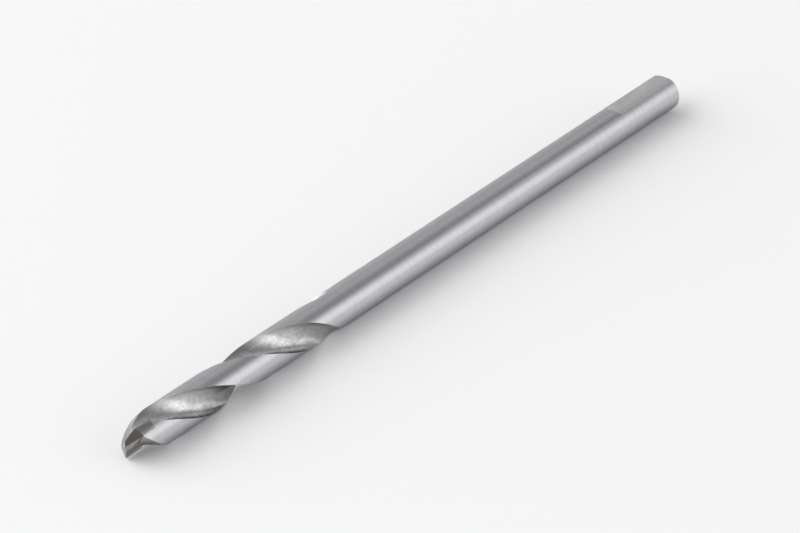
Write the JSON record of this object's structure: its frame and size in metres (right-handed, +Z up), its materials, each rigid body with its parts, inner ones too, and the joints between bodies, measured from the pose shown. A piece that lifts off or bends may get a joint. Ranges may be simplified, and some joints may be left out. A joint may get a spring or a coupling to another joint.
{
  "type": "hole saw pilot drill",
  "caption": "Short twist drill with a long plain shank, a set-screw flat at its rear end and a carbide plate brazed across its point.",
  "frame": {"origin": "middle of the drill's length, on the surface that it lies on", "axes": "+X along the drill's axis towards its point, +Z up, the way the set-screw flat faces"},
  "size_m": [0.1348, 0.0064, 0.0063],
  "materials": {
    "ground_steel": "ground",
    "carbide": "ground, dark grey",
    "braze": "satin"
  },
  "bodies": {
    "root": {"drill_body": "ground_steel", "carbide_tip": "carbide", "braze_layer": "braze"}
  },
  "joints": []
}
